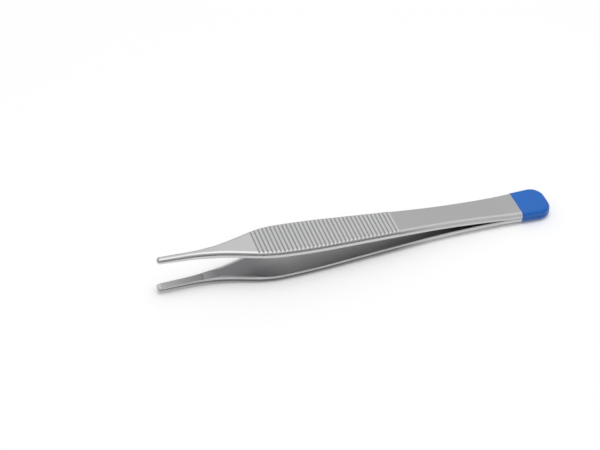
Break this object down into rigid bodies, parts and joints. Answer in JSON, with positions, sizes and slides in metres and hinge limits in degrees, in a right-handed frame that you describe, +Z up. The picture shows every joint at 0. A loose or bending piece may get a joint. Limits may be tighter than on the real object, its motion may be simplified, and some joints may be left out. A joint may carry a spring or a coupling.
{
  "type": "thumb forceps",
  "caption": "Thumb forceps with slim cross-toothed jaws, ridged finger pads and a blue coated heel end.",
  "frame": {"origin": "middle of the bounding box on the table that the forceps lie on", "axes": "+X towards the welded heel end, -X towards the jaw tips, Y across the width, +Z up from the table"},
  "size_m": [0.1202, 0.0128, 0.0129],
  "materials": {
    "steel": "stainless steel, matt blasted faces with ground edges",
    "blue_coating": "satin polymer coating"
  },
  "bodies": {
    "root": {"upper_tine": "steel", "lower_tine": "steel", "end_coating": "blue_coating"}
  },
  "joints": []
}
